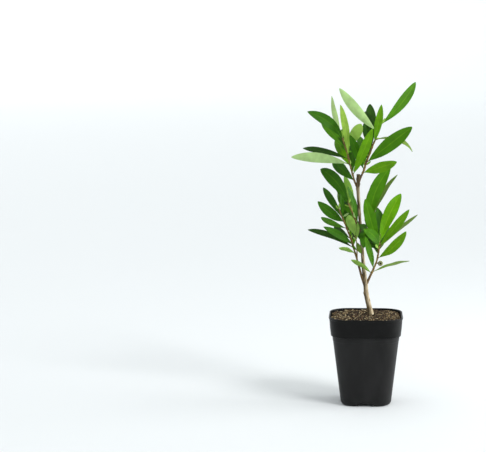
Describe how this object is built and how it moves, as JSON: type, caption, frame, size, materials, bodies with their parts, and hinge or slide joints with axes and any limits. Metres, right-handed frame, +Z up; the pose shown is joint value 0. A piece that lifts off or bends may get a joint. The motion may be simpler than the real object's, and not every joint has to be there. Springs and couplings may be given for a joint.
{
  "type": "potted bottlebrush",
  "caption": "Young bottlebrush shrub with long narrow leaves on a forked stem, growing in a square black nursery pot filled with bark mix",
  "frame": {"origin": "the middle of the pot's flat underside, on the surface that it stands on", "axes": "+Z up the plant, -Y to the front as pictured, +X to the right of the front"},
  "size_m": [0.175, 0.124, 0.441],
  "materials": {
    "pot_plastic": "satin moulded black plastic",
    "bark_mix": "coarse damp bark crumbs",
    "bark": "smooth tan bark with dark streaks",
    "young_bark": "thin olive-brown bark",
    "leaf": "leathery green leaf with a pale underside"
  },
  "bodies": {
    "root": {"pot": "pot_plastic", "soil": "bark_mix", "trunk": "bark", "lower_left_bough": "young_bark", "lower_right_bough": "young_bark", "upper_left_bough": "young_bark", "upper_right_bough": "young_bark", "lower_left_foliage": "leaf", "lower_right_foliage": "leaf", "middle_left_foliage": "leaf", "middle_right_foliage": "leaf", "upper_left_foliage": "leaf", "upper_right_foliage": "leaf"}
  },
  "joints": []
}
